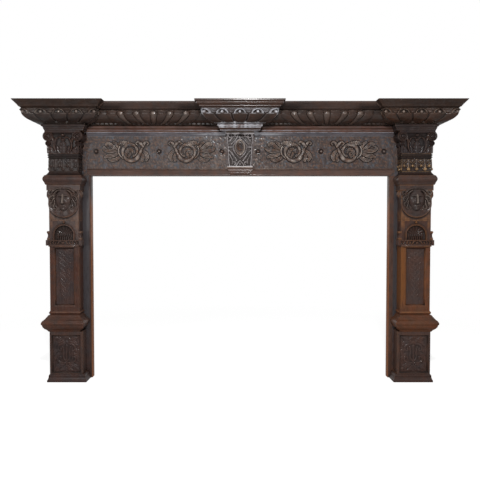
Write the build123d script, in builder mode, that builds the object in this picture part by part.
from build123d import *
import os

# A carved oak fireplace surround with a breakfront shelf, a gadrooned cornice,
# a carved frieze and two masked pilasters. Millimetres, +Z up, +Y to the wall.
# The origin is on the floor, at the middle of the width and of the depth.

# Overall size
SHELF_HALF = 1030
HEIGHT = 1317
DEPTH = 240
FRONT = -DEPTH / 2
BACK = DEPTH / 2

# Plan of the breakfront shelf: where its blocks end and how far it steps back
END_BLOCK_INNER = 622
CENTRE_BLOCK_HALF = 206
RECESS = 60

# Levels of the header, from the top down
FASCIA_BOTTOM = 1307
SHELF_BOTTOM = 1279
OVOLO_TOP = 1268
GADROON_BOTTOM = 1219
ASTRAGAL_BOTTOM = 1197
BED_BOTTOM = 1190
CAVETTO_BOTTOM = 1174
FIELD_BOTTOM = 1019
HEADER_BOTTOM = 984

# How far each line of the cornice lies inside the shelf's edge
FASCIA_INSET = 5
SHELF_LIP_INSET = 20
SHELF_MOULDING_INSET = 33
OVOLO_INSET = 26
GADROON_FOOT_INSET = 100
CORE_INSET = 120
BED_BACK_INSET = 140
FRIEZE_MOULDING_HALF = 738

# The leg: widths measured from the centre line of the surround
OPENING_HALF = 722
SHAFT_INNER = 763
SHAFT_OUTER = 902
LEG_MIDDLE = (SHAFT_INNER + SHAFT_OUTER) / 2
PEDESTAL_INNER = 750
PEDESTAL_OUTER = 905
PLINTH_INNER = 740
CAP_INNER = 764
CORE_INNER = 778
CORE_OUTER = 887

# The leg: depths
SHAFT_FRONT = FRONT + 126
PEDESTAL_FRONT = FRONT + 121
CORE_FRONT = FRONT + 146
JAMB_FRONT = FRONT + 200
PANEL_RECESS = 10

# Levels of the leg, from the floor up
PLINTH_TOP = 38
PEDESTAL_TOP = 240
CAP_TOP = 320
FOOT_TOP = 340
SHAFT_TOP = 643
BALCONY_TOP = 676
NICHE_TOP = 766
MASK_BLOCK_TOP = 936
IMPOST_TOP = 998
LEAF_BLOCK_TOP = 1083

# Mouldings: how far their lines stand out from the board behind them
LAP = 30
SHELF_LAP = 2
SHELF_LIP = (7, 12)
OVOLO_BELLY = (10, 10)
ASTRAGAL_INSET = 102
CAVETTO_REACH = 23
CAVETTO_MIDDLE = (9, 7)
CAVETTO_LIP = 4
FRIEZE_BEAD = 6
BEVEL_REACH = (4, 10)
BEVEL_DROP = 2
BEVEL_TOE = 4
PLINTH_REACH = 11
PLINTH_TOE = 7
PLINTH_HOLLOW = (5, 21)
PLINTH_NECK = (3, 5)
CAP_REACH = 31
CAP_FILLET = (3, 2)
CAP_OVOLO = ((16, 16), (26, 30))
CAP_FASCIA = (40, 46)
CAP_SLOPE = (5, 76)
FOOT_FILLET = 1
FOOT_BEAD = (4, 6)
IMPOST_FOOT = 12
IMPOST_TORUS = ((22, 20), (22, 34))
IMPOST_HOLLOW = (10, 50)
IMPOST_HEAD = 3
LEAF_HOLLOW = (2, 30)
NECKING_REACH = 5
NECKING_STEP = 6

# Boards and joints
TENON_LENGTH = 20
TENON_THICKNESS = 14
PANEL_REBATE = 5
PANEL_THICKNESS = 8
JAMB_EDGE_RADIUS = 5

# Framed panels of the leg: half width, and the rails below and above
PEDESTAL_PANEL = (63, 10, 22)
SHAFT_PANEL = (42, 29, 10)
PANEL_CARVING_DEPTH = 8

# Capital
VOLUTE_RADIUS = 24
VOLUTE_REACH = 12
VOLUTE_EYE_DROP = 10
ABACUS_THICKNESS = 12
ABACUS_SPREAD = 12
ABACUS_REACH = 14
LEAF_WIDTH = 32
LEAF_SPACING = 42
LEAF_FOOT_REACH = 6
LEAF_REACH = 20
LEAF_WAIST = (9, 34)
LEAF_TIP = (58, 68)
LEAF_CROWN = (9, 70)
LEAF_TOP = 62

# Mask and the block behind it
BAND_FOOT = 910
BAND_REACH = 9
BIB_LEVEL = 848
BIB_RADIUS = 68
BIB_RELIEF = 7
SIDE_CURL = ((7, 860), (17, 890))
SIDE_CURL_FOOT = 836
SIDE_CURL_DEPTH = 44
MASK_LEVEL = 866
MASK_HALF_HEIGHT = 56
MASK_SHARES = (0.68, 0.45, 1)
NOSE_FOOT = (18, 12, -18)
NOSE_BRIDGE = (7, 8, 18)
HAIR_ROLLS = ((48, 18, 21), (46, -16, 19))
HAIR_RELIEF = 16

# Niche and its balcony
NICHE_SPRING = 700
NICHE_RADIUS = 45
NICHE_DEPTH = 16
ARCHIVOLT_WIDTH = 9
ARCHIVOLT_RELIEF = 4
BRACKET_REACH = 11
BRACKET_DEPTH = 34
BRACKET_RISE = 15
BALCONY_DROP = 6
BALCONY_SPREAD = 15
BALCONY_EDGE = 6
BALCONY_BOW = 26

# Carving of the leg's panels
PENDANT_HALF_WIDTHS = (30, 18)
PENDANT_DROPS = (14, 90, 170)
OVAL_RINGS = ((30, 46), (20, 34), (12, 24))
CORNER_RING_PLACE = (40, 56)
CORNER_RING_RADII = (17, 8)

# Bosses and scrolls of the frieze
CARVING_RELIEF = 9
BOSS_RADIUS = 11
BOSS_RISE = 7
BOSS_RIM = 2
BOSS_PLACES = (87, 391, 695)
SCROLL_MIDDLES = {"inner": 233, "outer": 551}
SCROLL_LEVEL = 1101

# One scroll: its ring, its stem, and its leaves as place, radii and tilt
RING_PLACE = (-38, -4)
RING_RADII = (34, 22, 10)
RING_BAR = (6, 24)
STEM_FOOT = ((-10, -24), (-14, -12))
STEM_BENDS = ((40, 2), (36, 14))
STEM_TIP = (98, 8)
SCROLL_LEAVES = (
    ((-84, 8), (24, 11), 30),
    ((-78, -22), (22, 9), -25),
    ((-20, 34), (22, 9), -20),
    ((20, 20), (26, 10), 35),
    ((36, -20), (30, 10), -30),
    ((70, 16), (24, 10), 30),
    ((78, -8), (28, 9), -32),
)

# Centre tablet
TABLET_TOP_HALF = 70
TABLET_FOOT_HALF = 60
TABLET_FOOT = 1025
TABLET_RELIEF = 14
TABLET_BAND_FOOT = 1176
TABLET_BAND_RELIEF = 4
TABLET_BAND_TAPER = 1
TABLET_SILL = (8, 6)
CORBEL_FOOT_HALF = 43
CORBEL_TOP_HALF = 62
CORBEL_RELIEF = 22
CORBEL_FOOT_RELIEF = 14
CARTOUCHE_LEVEL = 1119
CARTOUCHE_RADII = (34, 41)
CARTOUCHE_WIDTH = 9
CARTOUCHE_RELIEF = 8
CARTOUCHE_ROUNDING = 3

# Lobes of the gadrooned cornice
LOBE_PITCH = 77
LOBE_WIDTH = 66
LOBE_RISE = 6
LOBE_ROUNDING = 10

# Fixings behind the frieze
PLATE_SIZE = (70, 30, 3)
PLATE_CORNER = 4
PLATE_LEVEL = 1100
PLATE_SPACING = 1000
HANGER_HOLE_RADIUS = 4
HANGER_POCKET = (12, 25)
SCREW_SPACING = 48
SCREW_HEAD_RADIUS = 4.5
SCREW_SHANK_RADIUS = 2
SCREW_LENGTH = 16

SIDES = {"left": -1, "right": 1}


def save(piece, label):
    """Name a finished piece and write its file."""
    piece.part.label = label
    export_step(piece.part, f"parts/{label}.step")


def block(x_range, y_range, z_range):
    """A straight-sided board or block between two corners."""
    x_low, x_high = sorted(x_range)
    y_low, y_high = sorted(y_range)
    z_low, z_high = sorted(z_range)
    with BuildPart() as piece:
        with BuildSketch(Plane.XY.offset(z_low)):
            with Locations(((x_low + x_high) / 2, (y_low + y_high) / 2)):
                Rectangle(x_high - x_low, y_high - y_low)
        extrude(amount=z_high - z_low)
    return piece


def plan_solid(points, z_low, z_high):
    """A prism that stands on a plan outline."""
    with BuildPart() as piece:
        with BuildSketch(Plane.XY.offset(z_low)):
            Polygon(*points, align=None)
        extrude(amount=z_high - z_low)
    return piece


def moulding(plan, draw_profile):
    """Sweep a profile round a plan, with mitred corners.

    The plan starts at the wall on the left. The profile is drawn with its
    first coordinate measured inwards from the plan line, and its second up.
    """
    start = Plane(origin=(plan[0][0], plan[0][1], 0), x_dir=(1, 0, 0), z_dir=(0, -1, 0))
    with BuildPart() as piece:
        with BuildLine() as route:
            Polyline(*[(x, y, 0) for x, y in plan])
        with BuildSketch(start):
            with BuildLine():
                draw_profile()
            make_face()
        sweep(path=route.wire(), transition=Transition.RIGHT)
    return piece


def joined(first, *others):
    """One solid from pieces that were worked in one length of timber."""
    with BuildPart() as piece:
        add(first.part)
        for other in others:
            add(other.part)
    return piece


def kept_inside(whole, region):
    """The stretch of a moulding that lies inside a region."""
    with BuildPart() as piece:
        add(whole.part)
        add(region.part, mode=Mode.INTERSECT)
    return piece


def cut_away(whole, *cutters):
    """A piece with the space of other pieces taken out of it."""
    with BuildPart() as piece:
        add(whole.part)
        for cutter in cutters:
            add(cutter.part, mode=Mode.SUBTRACT)
    return piece


# The cornice and its plan

def breakfront(inset):
    """Plan points of the cornice at a distance inside the shelf's edge."""
    right = [
        (CENTRE_BLOCK_HALF - inset, FRONT + inset),
        (CENTRE_BLOCK_HALF - inset, FRONT + RECESS + inset),
        (END_BLOCK_INNER + inset, FRONT + RECESS + inset),
        (END_BLOCK_INNER + inset, FRONT + inset),
        (SHELF_HALF - inset, FRONT + inset),
        (SHELF_HALF - inset, BACK),
    ]
    return [(-x, y) for x, y in reversed(right)] + right


def mitre_regions(z_low, z_high):
    """Plan regions between the mitres of the breakfront, by name."""
    def mitre(x, lean):
        """The two ends of a mitre that runs back from a point of the recess."""
        reach_front, reach_back = -RECESS, BACK - (FRONT + RECESS)
        corner_y = FRONT + RECESS
        return (
            (x + lean * reach_front, corner_y + reach_front),
            (x + lean * reach_back, corner_y + reach_back),
        )

    end_front, end_back = mitre(END_BLOCK_INNER, 1)
    middle_front, middle_back = mitre(CENTRE_BLOCK_HALF, -1)
    end = [end_front, (SHELF_HALF + RECESS, FRONT), (SHELF_HALF + RECESS, BACK), end_back]
    run = [middle_front, end_front, end_back, middle_back]
    return {
        "end_left": plan_solid([(-x, y) for x, y in reversed(end)], z_low, z_high),
        "run_left": plan_solid([(-x, y) for x, y in reversed(run)], z_low, z_high),
        "run_right": plan_solid(run, z_low, z_high),
        "end_right": plan_solid(end, z_low, z_high),
    }


def shelf_edge_profile():
    """Square fascia over an ovolo that ends in a lip."""
    belly_in, belly_drop = OVOLO_BELLY
    lip_foot, lip_top = (SHELF_BOTTOM + rise for rise in SHELF_LIP)
    heart = RECESS - SHELF_LAP
    Polyline((0, HEIGHT), (0, FASCIA_BOTTOM), (FASCIA_INSET, FASCIA_BOTTOM))
    ThreePointArc(
        (FASCIA_INSET, FASCIA_BOTTOM),
        (belly_in, FASCIA_BOTTOM - belly_drop),
        (SHELF_LIP_INSET, lip_top),
    )
    Polyline(
        (SHELF_LIP_INSET, lip_top),
        (SHELF_LIP_INSET, lip_foot),
        (SHELF_MOULDING_INSET, lip_foot),
        (SHELF_MOULDING_INSET, SHELF_BOTTOM),
        (heart, SHELF_BOTTOM),
        (heart, HEIGHT),
        (0, HEIGHT),
    )


def build_shelf():
    """The shelf board, and the three blocks that carry its edge forward."""
    edge = moulding(breakfront(0), shelf_edge_profile)
    inner = plan_solid(breakfront(RECESS - SHELF_LAP), SHELF_BOTTOM, HEIGHT)
    shelf = joined(edge, inner)
    joint = FRONT + RECESS
    reach = SHELF_HALF + RECESS
    gap = (END_BLOCK_INNER + CENTRE_BLOCK_HALF) / 2
    levels = (SHELF_BOTTOM, HEIGHT)
    save(kept_inside(shelf, block((-reach, reach), (joint, BACK), levels)), "shelf_board")
    blocks = {
        "shelf_block_left": (-reach, -gap),
        "shelf_block_centre": (-gap, gap),
        "shelf_block_right": (gap, reach),
    }
    for label, x_range in blocks.items():
        save(kept_inside(shelf, block(x_range, (FRONT, joint), levels)), label)


def gadroon_profile():
    """Ovolo below the shelf, square at the top and at the back."""
    rise = GADROON_FOOT_INSET - OVOLO_INSET - LOBE_RISE
    fall = OVOLO_TOP - GADROON_BOTTOM
    Line((SHELF_MOULDING_INSET, SHELF_BOTTOM), (OVOLO_INSET + LOBE_RISE, OVOLO_TOP))
    EllipticalCenterArc((GADROON_FOOT_INSET, OVOLO_TOP), rise, fall, start_angle=180, arc_size=90)
    Polyline(
        (GADROON_FOOT_INSET, GADROON_BOTTOM),
        (CORE_INSET, GADROON_BOTTOM),
        (CORE_INSET, SHELF_BOTTOM),
        (SHELF_MOULDING_INSET, SHELF_BOTTOM),
    )


def gadroon_lobe():
    """One swelling lobe, made with its foot on the line of the shelf's edge."""
    rise = GADROON_FOOT_INSET - OVOLO_INSET
    fall = OVOLO_TOP - GADROON_BOTTOM
    side = Plane(origin=(-LOBE_WIDTH / 2, 0, 0), x_dir=(0, 1, 0), z_dir=(1, 0, 0))
    with BuildPart() as lobe:
        with BuildSketch(side):
            with BuildLine():
                EllipticalCenterArc(
                    (GADROON_FOOT_INSET, OVOLO_TOP), rise, fall, start_angle=180, arc_size=90
                )
                Line((GADROON_FOOT_INSET, GADROON_BOTTOM), (GADROON_FOOT_INSET, OVOLO_TOP))
                Line((GADROON_FOOT_INSET, OVOLO_TOP), (OVOLO_INSET, OVOLO_TOP))
            make_face()
        extrude(amount=LOBE_WIDTH)
        curved = lobe.edges().filter_by(GeomType.ELLIPSE)
        fillet(curved, radius=LOBE_ROUNDING)
    return lobe


def lobe_places():
    """Where the lobes stand on each stretch of the cornice."""
    end_middle = (END_BLOCK_INNER + SHELF_HALF) / 2
    run_middle = (END_BLOCK_INNER + CENTRE_BLOCK_HALF) / 2
    places = {"centre": [], "end_left": [], "end_right": [], "run_left": [], "run_right": []}
    for step in (-1, 0, 1):
        places["centre"].append(Location((step * LOBE_PITCH, FRONT, 0)))
    for name, side in SIDES.items():
        for step in (-1, 0, 1):
            x = side * (end_middle + step * LOBE_PITCH)
            places[f"end_{name}"].append(Location((x, FRONT, 0)))
        for step in (0, 1):
            y = BACK - (step + 0.5) * LOBE_PITCH
            places[f"end_{name}"].append(Location((side * SHELF_HALF, y, 0), (0, 0, side * 90)))
        for step in (-2, -1, 0, 1, 2):
            x = side * (run_middle + step * LOBE_PITCH)
            places[f"run_{name}"].append(Location((x, FRONT + RECESS, 0)))
    return places


def build_gadroons():
    """The five lengths of gadrooned ovolo, mitred where the cornice steps."""
    ovolo = moulding(breakfront(0), gadroon_profile)
    lobe = gadroon_lobe()
    regions = mitre_regions(GADROON_BOTTOM, SHELF_BOTTOM)
    places = lobe_places()
    lengths = {name: kept_inside(ovolo, region) for name, region in regions.items()}
    lengths["centre"] = cut_away(ovolo, *regions.values())
    for name, length in lengths.items():
        with BuildPart() as carved:
            add(length.part)
            with Locations(*places[name]):
                add(lobe.part)
        save(carved, f"gadroon_{name}")


def bed_profile():
    """Half-round astragal over a fillet."""
    middle = (GADROON_BOTTOM + ASTRAGAL_BOTTOM) / 2
    radius = (GADROON_BOTTOM - ASTRAGAL_BOTTOM) / 2
    quirk = ASTRAGAL_INSET + radius
    ThreePointArc((quirk, GADROON_BOTTOM), (ASTRAGAL_INSET, middle), (quirk, ASTRAGAL_BOTTOM))
    Polyline(
        (quirk, ASTRAGAL_BOTTOM),
        (quirk, BED_BOTTOM),
        (BED_BACK_INSET, BED_BOTTOM),
        (BED_BACK_INSET, GADROON_BOTTOM),
        (quirk, GADROON_BOTTOM),
    )


def build_bed_mouldings():
    """The bed mould: one length round each end block, three over the frieze."""
    whole = moulding(breakfront(0), bed_profile)
    regions = mitre_regions(BED_BOTTOM, GADROON_BOTTOM)
    for name in SIDES:
        save(kept_inside(whole, regions[f"end_{name}"]), f"bed_moulding_{name}")
    save(cut_away(whole, regions["end_left"], regions["end_right"]), "bed_moulding_frieze")


def build_cornice_core():
    """The hidden rail and glue block that the cornice is planted on."""
    rail_front = FRONT + RECESS + CORE_INSET
    rail = block((-SHAFT_INNER, SHAFT_INNER), (rail_front, BACK), (GADROON_BOTTOM, SHELF_BOTTOM))
    save(rail, "cornice_rail")
    half = CENTRE_BLOCK_HALF - BED_BACK_INSET
    front = FRONT + BED_BACK_INSET
    save(block((-half, half), (front, rail_front), (BED_BOTTOM, SHELF_BOTTOM)), "cornice_centre_block")


# The frieze

def frieze_tenons():
    """The stub tenons at the ends of the frieze board."""
    reach = SHAFT_INNER + TENON_LENGTH
    middle = (JAMB_FRONT + BACK) / 2
    depth = (middle - TENON_THICKNESS / 2, middle + TENON_THICKNESS / 2)
    return block((-reach, reach), depth, (FIELD_BOTTOM, CAVETTO_BOTTOM))


def hanger_places():
    """Middles of the two hanger plates, on the wall face."""
    return [(side * PLATE_SPACING / 2, PLATE_LEVEL) for side in SIDES.values()]


def build_frieze_board():
    """The header board, with its tenons and the pockets for the hangers."""
    length, width, thickness = PLATE_SIZE
    pocket_radius, pocket_depth = HANGER_POCKET
    wall = Plane(origin=(0, BACK, 0), x_dir=(-1, 0, 0), z_dir=(0, 1, 0))
    board = block((-SHAFT_INNER, SHAFT_INNER), (JAMB_FRONT, BACK), (HEADER_BOTTOM, GADROON_BOTTOM))
    with BuildPart() as frieze:
        add(board.part)
        add(frieze_tenons().part)
        with BuildSketch(wall):
            with Locations(*hanger_places()):
                Rectangle(length, width)
        extrude(amount=-thickness, mode=Mode.SUBTRACT)
        with BuildSketch(wall):
            with Locations(*hanger_places()):
                Circle(pocket_radius)
        extrude(amount=-pocket_depth, mode=Mode.SUBTRACT)
    save(cut_away(frieze, plate_screws()), "frieze_board")


def plate_screws():
    """The countersunk screws that hold the hanger plates."""
    wall = Plane(origin=(0, BACK, 0), x_dir=(-1, 0, 0), z_dir=(0, 1, 0))
    head = SCREW_HEAD_RADIUS - SCREW_SHANK_RADIUS
    with BuildPart() as screw:
        Cylinder(SCREW_SHANK_RADIUS, SCREW_LENGTH, align=(Align.CENTER, Align.CENTER, Align.MAX))
        Cone(SCREW_SHANK_RADIUS, SCREW_HEAD_RADIUS, head, align=(Align.CENTER, Align.CENTER, Align.MAX))
    with BuildPart() as screws:
        with Locations(wall):
            for x, z in hanger_places():
                for step in (-SCREW_SPACING / 2, SCREW_SPACING / 2):
                    with Locations((x + step, z)):
                        add(screw.part)
    return screws


def build_hangers():
    """Steel plates let into the back of the frieze, and their screws."""
    length, width, thickness = PLATE_SIZE
    wall = Plane(origin=(0, BACK, 0), x_dir=(-1, 0, 0), z_dir=(0, 1, 0))
    with BuildPart() as plates:
        with BuildSketch(wall):
            with Locations(*hanger_places()):
                RectangleRounded(length, width, PLATE_CORNER)
                Circle(HANGER_HOLE_RADIUS, mode=Mode.SUBTRACT)
        extrude(amount=-thickness)
    screws = plate_screws()
    save(cut_away(plates, screws), "hanger_plates")
    save(screws, "hanger_screws")


def build_frieze_mouldings():
    """The cavetto over the carved field, and the bead and bevel under it."""
    top_front = JAMB_FRONT - CAVETTO_REACH
    bend_out, bend_up = CAVETTO_MIDDLE
    lip = JAMB_FRONT - CAVETTO_LIP
    section = Plane(origin=(TABLET_TOP_HALF, 0, 0), x_dir=(0, 1, 0), z_dir=(1, 0, 0))
    with BuildPart() as cavetto:
        with BuildSketch(section):
            with BuildLine():
                Polyline((JAMB_FRONT, CAVETTO_BOTTOM), (JAMB_FRONT, BED_BOTTOM), (top_front, BED_BOTTOM))
                ThreePointArc(
                    (top_front, BED_BOTTOM),
                    (JAMB_FRONT - bend_out, CAVETTO_BOTTOM + bend_up),
                    (lip, CAVETTO_BOTTOM),
                )
                Line((lip, CAVETTO_BOTTOM), (JAMB_FRONT, CAVETTO_BOTTOM))
            make_face()
        extrude(amount=FRIEZE_MOULDING_HALF - TABLET_TOP_HALF)
        mirror(about=Plane.YZ)
    save(cavetto, "frieze_top_moulding")

    section = Plane(origin=(-FRIEZE_MOULDING_HALF, 0, 0), x_dir=(0, 1, 0), z_dir=(1, 0, 0))
    bead = JAMB_FRONT - FRIEZE_BEAD
    bevel_top, bevel_foot = (JAMB_FRONT - reach for reach in BEVEL_REACH)
    with BuildPart() as lower:
        with BuildSketch(section):
            with BuildLine():
                Polyline(
                    (JAMB_FRONT, FIELD_BOTTOM),
                    (bead, FIELD_BOTTOM),
                    (bead, FIELD_BOTTOM - FRIEZE_BEAD),
                    (bevel_top, FIELD_BOTTOM - FRIEZE_BEAD - BEVEL_DROP),
                    (bevel_foot, HEADER_BOTTOM + BEVEL_TOE),
                    (bevel_foot, HEADER_BOTTOM),
                    (JAMB_FRONT, HEADER_BOTTOM),
                    close=True,
                )
            make_face()
        extrude(amount=2 * FRIEZE_MOULDING_HALF)
        ends = lower.edges().filter_by(Axis.Y).group_by(Axis.Z)[0]
        chamfer(ends, length=FRIEZE_MOULDING_HALF - OPENING_HALF)
    save(cut_away(lower, tablet_corbel()), "frieze_lower_moulding")


def tablet_corbel():
    """The tapering corbel that closes the lower moulding at the middle."""
    with BuildPart() as corbel:
        with BuildSketch(Plane.XY.offset(HEADER_BOTTOM)):
            with Locations((0, JAMB_FRONT)):
                Rectangle(2 * CORBEL_FOOT_HALF, CORBEL_FOOT_RELIEF, align=(Align.CENTER, Align.MAX))
        with BuildSketch(Plane.XY.offset(TABLET_FOOT)):
            with Locations((0, JAMB_FRONT)):
                Rectangle(2 * CORBEL_TOP_HALF, CORBEL_RELIEF, align=(Align.CENTER, Align.MAX))
        loft()
    return corbel


def build_tablet():
    """The centre tablet, its oval cartouche and the corbel below them."""
    face = front_plane(JAMB_FRONT)
    sill_height, sill_level = TABLET_SILL
    band_half = TABLET_TOP_HALF - TABLET_BAND_TAPER
    with BuildPart() as tablet:
        with BuildSketch(face):
            Polygon(
                (-TABLET_FOOT_HALF, TABLET_FOOT),
                (TABLET_FOOT_HALF, TABLET_FOOT),
                (TABLET_TOP_HALF, BED_BOTTOM),
                (-TABLET_TOP_HALF, BED_BOTTOM),
                align=None,
            )
        extrude(amount=TABLET_RELIEF)
        with BuildSketch(face.offset(TABLET_RELIEF)):
            Polygon(
                (-band_half, TABLET_BAND_FOOT),
                (band_half, TABLET_BAND_FOOT),
                (TABLET_TOP_HALF, BED_BOTTOM),
                (-TABLET_TOP_HALF, BED_BOTTOM),
                align=None,
            )
            with Locations((0, TABLET_FOOT + sill_level)):
                Rectangle(2 * TABLET_FOOT_HALF, sill_height)
        extrude(amount=TABLET_BAND_RELIEF)
    save(tablet, "centre_tablet")

    across, up = CARTOUCHE_RADII
    with BuildPart() as cartouche:
        with BuildSketch(face.offset(TABLET_RELIEF)):
            with Locations((0, CARTOUCHE_LEVEL)):
                Ellipse(across, up)
                Ellipse(across - CARTOUCHE_WIDTH, up - CARTOUCHE_WIDTH, mode=Mode.SUBTRACT)
        extrude(amount=CARTOUCHE_RELIEF)
        rims = cartouche.faces().sort_by(Axis.Y)[0].edges()
        fillet(rims, radius=CARTOUCHE_ROUNDING)
    save(cartouche, "tablet_cartouche")
    save(tablet_corbel(), "tablet_corbel")


def build_bosses():
    """Six turned bosses pinned to the field of the frieze."""
    dome_radius = (BOSS_RADIUS**2 + BOSS_RISE**2) / (2 * BOSS_RISE)
    with BuildPart() as boss:
        with Locations((0, 0, BOSS_RISE - dome_radius)):
            Sphere(dome_radius)
        split(bisect_by=Plane.XY)
        Cylinder(BOSS_RADIUS, BOSS_RIM, align=(Align.CENTER, Align.CENTER, Align.MIN))
    with BuildPart() as bosses:
        with Locations(front_plane(JAMB_FRONT)):
            for side in SIDES.values():
                for place in BOSS_PLACES:
                    with Locations((side * place, SCROLL_LEVEL)):
                        add(boss.part)
    save(bosses, "frieze_bosses")


def scroll_carving(side):
    """One spray of acanthus: a ring scroll, its stem and the leaves off it."""
    outer, inner, eye = RING_RADII
    bar_width, bar_length = RING_BAR
    (foot_x, foot_z), (heel_x, heel_z) = STEM_FOOT
    (low_x, low_z), (high_x, high_z) = STEM_BENDS
    tip_x, tip_height = STEM_TIP
    tip, foot, heel = side * tip_x, (side * foot_x, foot_z), (side * heel_x, heel_z)
    with BuildSketch() as sketch:
        with Locations((side * RING_PLACE[0], RING_PLACE[1])):
            Circle(outer)
            Circle(inner, mode=Mode.SUBTRACT)
            Circle(eye)
            Rectangle(bar_width, bar_length, align=(Align.CENTER, Align.MIN))
        with BuildLine():
            ThreePointArc(foot, (side * low_x, low_z), (tip, 0))
            Line((tip, 0), (tip, tip_height))
            ThreePointArc((tip, tip_height), (side * high_x, high_z), heel)
            Line(heel, foot)
        make_face()
        for (x, z), (long_radius, short_radius), tilt in SCROLL_LEAVES:
            with Locations(Location((side * x, z, 0), (0, 0, side * tilt))):
                Ellipse(long_radius, short_radius)
    return sketch


def build_scrolls():
    """The four scroll carvings, mirrored about the centre line."""
    for name, side in SIDES.items():
        for position, middle in SCROLL_MIDDLES.items():
            lean = side if position == "inner" else -side
            outline = scroll_carving(lean)
            with BuildPart() as carving:
                with BuildSketch(front_plane(JAMB_FRONT)):
                    with Locations((side * middle, SCROLL_LEVEL)):
                        add(outline.sketch)
                extrude(amount=CARVING_RELIEF)
            save(carving, f"scroll_{position}_{name}")


# The legs

def leg_range(side, inner, outer):
    """The two ends of a width of the leg, on one side of the surround."""
    return (side * inner, side * outer)


def leg_plan(side, inner, outer, front):
    """Plan line round the front and the two sides of a leg."""
    left, right = sorted(leg_range(side, inner, outer))
    return [(left, JAMB_FRONT), (left, front), (right, front), (right, JAMB_FRONT)]


def leg_core(side):
    """The post inside the leg, from the floor to the shelf."""
    return block(leg_range(side, CORE_INNER, CORE_OUTER), (CORE_FRONT, JAMB_FRONT), (0, SHELF_BOTTOM))


def casing(side, inner, outer, front, z_low, z_high):
    """Boards round the front and the sides of the post."""
    solid = block(leg_range(side, inner, outer), (front, JAMB_FRONT), (z_low, z_high))
    return cut_away(solid, leg_core(side))


def leg_moulding(side, inner, outer, front, draw_profile):
    """A moulding mitred round the leg and housed against the post."""
    return cut_away(moulding(leg_plan(side, inner, outer, front), draw_profile), leg_core(side))


def front_plane(y):
    """A plane that faces the room, with its second axis up."""
    return Plane(origin=(0, y, 0), x_dir=(1, 0, 0), z_dir=(0, -1, 0))


def plinth_profile():
    """Splayed and hollowed foot moulding."""
    hollow_out, hollow_up = PLINTH_HOLLOW
    neck_out, neck_drop = PLINTH_NECK
    neck = (-neck_out, PLINTH_TOP - neck_drop)
    Polyline((LAP, 0), (-PLINTH_REACH, 0), (-PLINTH_REACH, PLINTH_TOE))
    ThreePointArc((-PLINTH_REACH, PLINTH_TOE), (-hollow_out, hollow_up), neck)
    Polyline(neck, (0, PLINTH_TOP), (LAP, PLINTH_TOP), (LAP, 0))


def cap_profile():
    """Cap of the pedestal: a long slope above, a fascia and an ovolo under it."""
    fillet_out, fillet_up = CAP_FILLET
    belly, shoulder = ((-out, PEDESTAL_TOP + up) for out, up in CAP_OVOLO)
    fascia_low, fascia_high = (PEDESTAL_TOP + up for up in CAP_FASCIA)
    neck_out, neck_up = CAP_SLOPE
    foot = (-fillet_out, PEDESTAL_TOP + fillet_up)
    Polyline((LAP, PEDESTAL_TOP), (0, PEDESTAL_TOP), foot)
    ThreePointArc(foot, belly, shoulder)
    Polyline(
        shoulder,
        (-CAP_REACH, fascia_low),
        (-CAP_REACH, fascia_high),
        (-neck_out, PEDESTAL_TOP + neck_up),
        (0, CAP_TOP),
        (LAP, CAP_TOP),
        (LAP, PEDESTAL_TOP),
    )


def foot_profile():
    """Small base moulding of the shaft: a bead between fillets."""
    middle = (CAP_TOP + FOOT_TOP) / 2
    bead_out, bead_half = FOOT_BEAD
    low, high = (-FOOT_FILLET, middle - bead_half), (-FOOT_FILLET, middle + bead_half)
    Polyline((LAP, CAP_TOP), (-FOOT_FILLET, CAP_TOP), low)
    ThreePointArc(low, (-bead_out, middle), high)
    Polyline(high, (0, FOOT_TOP), (LAP, FOOT_TOP), (LAP, CAP_TOP))


def impost_profile():
    """Impost under the leaf block: a hollow over a rounded edge."""
    foot = (-IMPOST_FOOT, MASK_BLOCK_TOP)
    belly, shoulder = ((-out, MASK_BLOCK_TOP + up) for out, up in IMPOST_TORUS)
    hollow_out, hollow_up = IMPOST_HOLLOW
    head = (-IMPOST_HEAD, IMPOST_TOP)
    Line((LAP, MASK_BLOCK_TOP), foot)
    ThreePointArc(foot, belly, shoulder)
    ThreePointArc(shoulder, (-hollow_out, MASK_BLOCK_TOP + hollow_up), head)
    Polyline(head, (LAP, IMPOST_TOP), (LAP, MASK_BLOCK_TOP))


def leaf_block_profile():
    """Two necking beads over a hollow that spreads to the impost."""
    hollow_in, hollow_up = LEAF_HOLLOW
    beads_foot = LEAF_BLOCK_TOP - 4 * NECKING_STEP
    Polyline((LAP, IMPOST_TOP), (0, IMPOST_TOP))
    ThreePointArc((0, IMPOST_TOP), (hollow_in, IMPOST_TOP + hollow_up), (0, beads_foot))
    for foot in (beads_foot, beads_foot + 2 * NECKING_STEP):
        ThreePointArc(
            (0, foot), (-NECKING_REACH, foot + NECKING_STEP), (0, foot + 2 * NECKING_STEP)
        )
    Polyline((0, LEAF_BLOCK_TOP), (LAP, LEAF_BLOCK_TOP), (LAP, IMPOST_TOP))


def acanthus_tongue():
    """One leaf of the capital, curling forward at its tip."""
    section = Plane(origin=(-LEAF_WIDTH / 2, 0, 0), x_dir=(0, 1, 0), z_dir=(1, 0, 0))
    waist_out, waist_up = LEAF_WAIST
    crown_out, crown_up = LEAF_CROWN
    tip_low, tip_high = LEAF_TIP
    with BuildPart() as leaf:
        with BuildSketch(section):
            with BuildLine():
                Line((0, 0), (-LEAF_FOOT_REACH, 0))
                ThreePointArc((-LEAF_FOOT_REACH, 0), (-waist_out, waist_up), (-LEAF_REACH, tip_low))
                Line((-LEAF_REACH, tip_low), (-LEAF_REACH, tip_high))
                ThreePointArc((-LEAF_REACH, tip_high), (-crown_out, crown_up), (0, LEAF_TOP))
                Line((0, LEAF_TOP), (0, 0))
            make_face()
        extrude(amount=LEAF_WIDTH)
    return leaf


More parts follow.
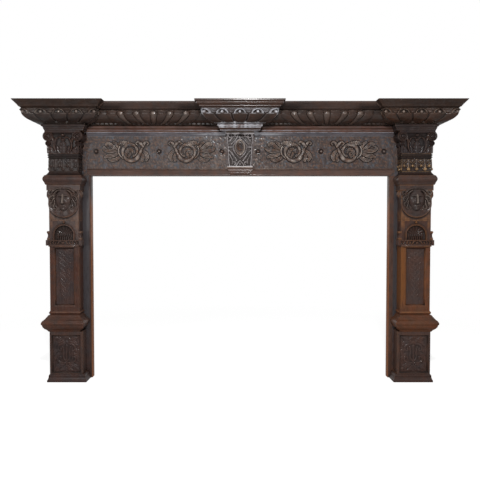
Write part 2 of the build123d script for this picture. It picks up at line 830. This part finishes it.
def build_capital(side, name):
    """Capital with a pair of volutes and three leaves."""
    middle = side * LEG_MIDDLE
    volute_level = BED_BOTTOM - VOLUTE_RADIUS - SHELF_LAP
    front = front_plane(SHAFT_FRONT - VOLUTE_REACH)
    bell = casing(side, SHAFT_INNER, SHAFT_OUTER, SHAFT_FRONT, LEAF_BLOCK_TOP, BED_BOTTOM)
    leaf = acanthus_tongue()
    with BuildPart() as capital:
        add(bell.part)
        with BuildSketch(front):
            for edge in leg_range(side, SHAFT_INNER, SHAFT_OUTER):
                with Locations((edge, volute_level)):
                    Circle(VOLUTE_RADIUS)
                with Locations((edge, volute_level - VOLUTE_RADIUS - VOLUTE_EYE_DROP)):
                    Circle(VOLUTE_RADIUS / 2)
        extrude(amount=-(JAMB_FRONT - SHAFT_FRONT))
        for step in (-1, 0, 1):
            with Locations((middle + step * LEAF_SPACING, SHAFT_FRONT, LEAF_BLOCK_TOP)):
                add(leaf.part)
        with BuildSketch(Plane.XY.offset(BED_BOTTOM - ABACUS_THICKNESS)):
            with Locations((middle, JAMB_FRONT)):
                Rectangle(
                    SHAFT_OUTER - SHAFT_INNER + 2 * ABACUS_SPREAD,
                    JAMB_FRONT - SHAFT_FRONT + ABACUS_REACH,
                    align=(Align.CENTER, Align.MAX),
                )
        extrude(amount=ABACUS_THICKNESS)
    save(cut_away(capital, leg_core(side)), f"capital_{name}")


def mask_band(side, inside_too=False):
    """The band that runs round the leg above the mask."""
    inner, outer = SHAFT_INNER - BAND_REACH, SHAFT_OUTER + BAND_REACH
    front = SHAFT_FRONT - BAND_REACH
    if inside_too:
        return block(leg_range(side, inner, outer), (front, JAMB_FRONT), (BAND_FOOT, MASK_BLOCK_TOP))
    return casing(side, inner, outer, front, BAND_FOOT, MASK_BLOCK_TOP)


def bib(side):
    """The round bib that hangs under the mask."""
    with BuildPart() as piece:
        with BuildSketch(front_plane(SHAFT_FRONT)):
            with Locations((side * LEG_MIDDLE, BIB_LEVEL)):
                Circle(BIB_RADIUS)
        extrude(amount=BIB_RELIEF)
    return piece


def side_curl(side, edge, outward):
    """The curl of hair that stands out from a side of the leg."""
    belly, crest = ((side * (edge + outward * out), level) for out, level in SIDE_CURL)
    root, foot = (side * edge, BAND_FOOT), (side * edge, SIDE_CURL_FOOT)
    brow = (side * (edge + outward * BAND_REACH), BAND_FOOT)
    with BuildPart() as curl:
        with BuildSketch(front_plane(SHAFT_FRONT)):
            with BuildLine():
                Polyline(brow, root, foot, belly)
                ThreePointArc(belly, crest, brow)
            make_face()
        extrude(amount=-SIDE_CURL_DEPTH)
    return curl


def build_mask_block(side, name):
    """The block behind the mask: a band above, curls beside, a round bib below."""
    body = casing(side, SHAFT_INNER, SHAFT_OUTER, SHAFT_FRONT, NICHE_TOP, BAND_FOOT)
    curls = [side_curl(side, SHAFT_INNER, -1), side_curl(side, SHAFT_OUTER, 1)]
    save(joined(body, mask_band(side), bib(side), *curls), f"mask_block_{name}")


def build_mask(side, name):
    """A plain oval head in half relief, framed by rolls of hair."""
    middle = side * LEG_MIDDLE
    with BuildPart() as egg:
        Sphere(MASK_HALF_HEIGHT)
        scale(by=MASK_SHARES)
    with BuildPart() as nose:
        for width, depth, level in (NOSE_FOOT, NOSE_BRIDGE):
            with BuildSketch(Plane.XY.offset(level)):
                Rectangle(width, depth)
        loft()
    with BuildPart() as mask:
        with Locations((middle, SHAFT_FRONT, MASK_LEVEL)):
            add(egg.part)
        with Locations((middle, SHAFT_FRONT - MASK_HALF_HEIGHT / 2, MASK_LEVEL)):
            add(nose.part)
        with BuildSketch(front_plane(SHAFT_FRONT)):
            for across in (-1, 1):
                for out, up, radius in HAIR_ROLLS:
                    with Locations((middle + across * out, MASK_LEVEL + up)):
                        Circle(radius)
        extrude(amount=HAIR_RELIEF)
        split(bisect_by=Plane(origin=(0, SHAFT_FRONT, 0), z_dir=(0, -1, 0)), keep=Keep.TOP)
    save(cut_away(mask, mask_band(side, inside_too=True), bib(side)), f"mask_{name}")


def draw_arch(middle, radius):
    """A round-headed opening that stands on the balcony."""
    with Locations((middle, NICHE_SPRING)):
        Circle(radius)
    with Locations((middle, BALCONY_TOP)):
        Rectangle(2 * radius, NICHE_SPRING - BALCONY_TOP, align=(Align.CENTER, Align.MIN))


def build_niche(side, name):
    """The arched niche, its raised archivolt and the brackets beside it."""
    middle = side * LEG_MIDDLE
    body = casing(side, SHAFT_INNER, SHAFT_OUTER, SHAFT_FRONT, SHAFT_TOP, NICHE_TOP)
    bracket_depths = (SHAFT_FRONT, SHAFT_FRONT + BRACKET_DEPTH)
    bracket_levels = (BALCONY_TOP, NICHE_SPRING + BRACKET_RISE)
    with BuildPart() as piece:
        add(body.part)
        for edge, outward in ((SHAFT_INNER, -1), (SHAFT_OUTER, 1)):
            reach = leg_range(side, edge, edge + outward * BRACKET_REACH)
            add(block(reach, bracket_depths, bracket_levels).part)
        with BuildSketch(front_plane(SHAFT_FRONT)):
            draw_arch(middle, NICHE_RADIUS + ARCHIVOLT_WIDTH)
        extrude(amount=ARCHIVOLT_RELIEF)
        with BuildSketch(front_plane(SHAFT_FRONT - ARCHIVOLT_RELIEF)):
            draw_arch(middle, NICHE_RADIUS)
        extrude(amount=-(NICHE_DEPTH + ARCHIVOLT_RELIEF), mode=Mode.SUBTRACT)
        add(balcony(side).part, mode=Mode.SUBTRACT)
        below = block(
            leg_range(side, SHAFT_INNER, SHAFT_OUTER),
            (SHAFT_FRONT - BALCONY_BOW, SHAFT_FRONT), (SHAFT_TOP, BALCONY_TOP),
        )
        add(below.part, mode=Mode.SUBTRACT)
    save(piece, f"niche_{name}")


def balcony(side):
    """The bow-fronted balcony under the niche."""
    low, high = sorted(leg_range(side, SHAFT_INNER - BALCONY_SPREAD, SHAFT_OUTER + BALCONY_SPREAD))
    edge, bow = SHAFT_FRONT - BALCONY_EDGE, SHAFT_FRONT - BALCONY_BOW
    with BuildPart() as piece:
        with BuildSketch(Plane.XY.offset(SHAFT_TOP + BALCONY_DROP)):
            with BuildLine():
                Polyline((low, edge), (low, SHAFT_FRONT), (high, SHAFT_FRONT), (high, edge))
                ThreePointArc((high, edge), (side * LEG_MIDDLE, bow), (low, edge))
            make_face()
        extrude(amount=BALCONY_TOP - SHAFT_TOP - BALCONY_DROP)
    return piece


def build_panelled_front(side, name, label, sizes, panel_sizes, draw_carving):
    """A framed front with a panel housed in a rebate at its back."""
    inner, outer, front, z_low, z_high = sizes
    half, low_rail, high_rail = panel_sizes
    middle = side * (inner + outer) / 2
    panel_face = front + PANEL_RECESS
    open_height = z_high - high_rail - z_low - low_rail
    open_middle = z_low + low_rail + open_height / 2
    frame = casing(side, inner, outer, front, z_low, z_high)
    with BuildPart() as panel:
        with BuildSketch(front_plane(panel_face + PANEL_THICKNESS)):
            with Locations((middle, open_middle)):
                Rectangle(2 * (half + PANEL_REBATE), open_height + 2 * PANEL_REBATE)
        extrude(amount=PANEL_THICKNESS)
    with BuildPart() as framed:
        add(frame.part)
        with BuildSketch(front_plane(front)):
            with Locations((middle, open_middle)):
                Rectangle(2 * half, open_height)
        extrude(amount=-PANEL_RECESS, mode=Mode.SUBTRACT)
        add(panel.part, mode=Mode.SUBTRACT)
    save(framed, f"{label}_frame_{name}")
    with BuildPart() as carved:
        add(panel.part)
        with BuildSketch(front_plane(panel_face)):
            draw_carving(middle)
        extrude(amount=PANEL_CARVING_DEPTH)
    save(carved, f"{label}_panel_{name}")


def draw_pendant(middle):
    """A tapering pendant of leaves below the balcony."""
    wide, narrow = PENDANT_HALF_WIDTHS
    top, waist, tip = (SHAFT_TOP - drop for drop in PENDANT_DROPS)
    Polygon(
        (middle - wide, top),
        (middle - narrow, waist),
        (middle, tip),
        (middle + narrow, waist),
        (middle + wide, top),
        align=None,
    )


def draw_cartouche(middle):
    """An oval cartouche between scrolled straps."""
    level = (PLINTH_TOP + PEDESTAL_TOP) / 2
    rim, well, boss = OVAL_RINGS
    out, up = CORNER_RING_PLACE
    ring, hole = CORNER_RING_RADII
    with Locations((middle, level)):
        Ellipse(*rim)
        Ellipse(*well, mode=Mode.SUBTRACT)
        Ellipse(*boss)
    corners = [(middle + x * out, level + z * up) for x in (-1, 1) for z in (-1, 1)]
    with Locations(*corners):
        Circle(ring)
        Circle(hole, mode=Mode.SUBTRACT)


def build_jamb(side, name):
    """The jamb board behind the leg, mortised for the end of the frieze."""
    foot = block(leg_range(side, OPENING_HALF, SHAFT_OUTER), (JAMB_FRONT, BACK), (0, HEADER_BOTTOM))
    head = block(
        leg_range(side, SHAFT_INNER, SHAFT_OUTER), (JAMB_FRONT, BACK), (HEADER_BOTTOM, BED_BOTTOM)
    )
    top = block(
        leg_range(side, SHAFT_INNER, SHELF_HALF - BED_BACK_INSET),
        (JAMB_FRONT, BACK), (BED_BOTTOM, SHELF_BOTTOM),
    )
    with BuildPart() as jamb:
        add(foot.part)
        arris = (side * OPENING_HALF, JAMB_FRONT, HEADER_BOTTOM / 2)
        fillet(jamb.edges().filter_by(Axis.Z).sort_by_distance(arris)[0], radius=JAMB_EDGE_RADIUS)
        add(head.part)
        add(top.part)
        add(frieze_tenons().part, mode=Mode.SUBTRACT)
    save(jamb, f"jamb_board_{name}")


def build_leg(name, side):
    """Every piece of one leg, from the floor up."""
    save(leg_core(side), f"leg_post_{name}")
    build_jamb(side, name)
    plinth = leg_moulding(side, PLINTH_INNER, PEDESTAL_OUTER, PEDESTAL_FRONT, plinth_profile)
    save(plinth, f"plinth_moulding_{name}")
    build_panelled_front(
        side, name, "pedestal",
        (PEDESTAL_INNER, PEDESTAL_OUTER, PEDESTAL_FRONT, PLINTH_TOP, PEDESTAL_TOP),
        PEDESTAL_PANEL, draw_cartouche,
    )
    cap = leg_moulding(side, CAP_INNER, PEDESTAL_OUTER, PEDESTAL_FRONT, cap_profile)
    save(cap, f"pedestal_cap_{name}")
    foot = leg_moulding(side, SHAFT_INNER, SHAFT_OUTER, SHAFT_FRONT, foot_profile)
    save(foot, f"shaft_base_{name}")
    build_panelled_front(
        side, name, "shaft",
        (SHAFT_INNER, SHAFT_OUTER, SHAFT_FRONT, FOOT_TOP, SHAFT_TOP),
        SHAFT_PANEL, draw_pendant,
    )
    build_niche(side, name)
    save(balcony(side), f"balcony_{name}")
    build_mask_block(side, name)
    build_mask(side, name)
    impost = leg_moulding(side, SHAFT_INNER, SHAFT_OUTER, SHAFT_FRONT, impost_profile)
    save(impost, f"impost_{name}")
    leaves = leg_moulding(side, SHAFT_INNER, SHAFT_OUTER, SHAFT_FRONT, leaf_block_profile)
    save(leaves, f"leaf_block_{name}")
    build_capital(side, name)


os.makedirs("parts", exist_ok=True)
build_shelf()
build_gadroons()
build_bed_mouldings()
build_cornice_core()
build_frieze_board()
build_hangers()
build_frieze_mouldings()
build_tablet()
build_bosses()
build_scrolls()
for leg_name, leg_side in SIDES.items():
    build_leg(leg_name, leg_side)
